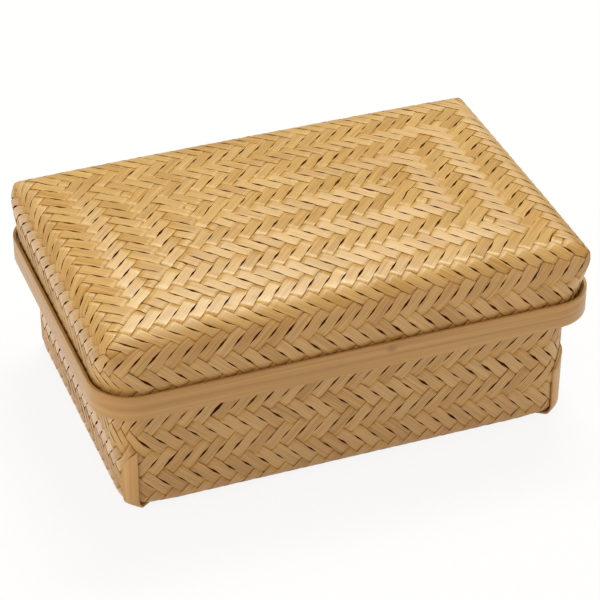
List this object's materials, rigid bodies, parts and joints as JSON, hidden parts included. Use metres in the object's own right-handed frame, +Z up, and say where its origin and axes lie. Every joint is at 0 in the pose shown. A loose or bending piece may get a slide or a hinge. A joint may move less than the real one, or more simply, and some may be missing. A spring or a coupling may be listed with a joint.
{
  "type": "bamboo bento box",
  "caption": "Rectangular lunch box of twill-woven bamboo strips with a lift-off crowned lid, bent bamboo hoops at the rims and brace strips crossing under the base.",
  "frame": {"origin": "under the middle of the box, on the table that its braces stand on", "axes": "+X along the box's length, +Y from its front to its back, +Z up"},
  "size_m": [0.2, 0.1336, 0.0838],
  "materials": {
    "woven_core": "matte bamboo",
    "rising_strips": "satin bamboo",
    "falling_strips": "satin bamboo",
    "hoops": "smooth bent bamboo",
    "inner_bands": "smooth bent bamboo",
    "braces": "smooth split bamboo"
  },
  "bodies": {
    "body": {"body_weave": "woven_core", "body_rising_strips": "rising_strips", "body_falling_strips": "falling_strips", "body_rim_hoop": "hoops", "body_inner_hoop": "inner_bands", "lower_brace": "braces", "upper_brace": "braces"},
    "lid": {"lid_weave": "woven_core", "lid_rising_strips": "rising_strips", "lid_falling_strips": "falling_strips", "lid_hoop": "hoops", "lid_inner_hoop": "inner_bands"}
  },
  "joints": [
    {"name": "lid_lift", "type": "slide", "parent": "body", "child": "lid", "axis": [0, 0, 1], "range_m": [0, 0.06]}
  ]
}
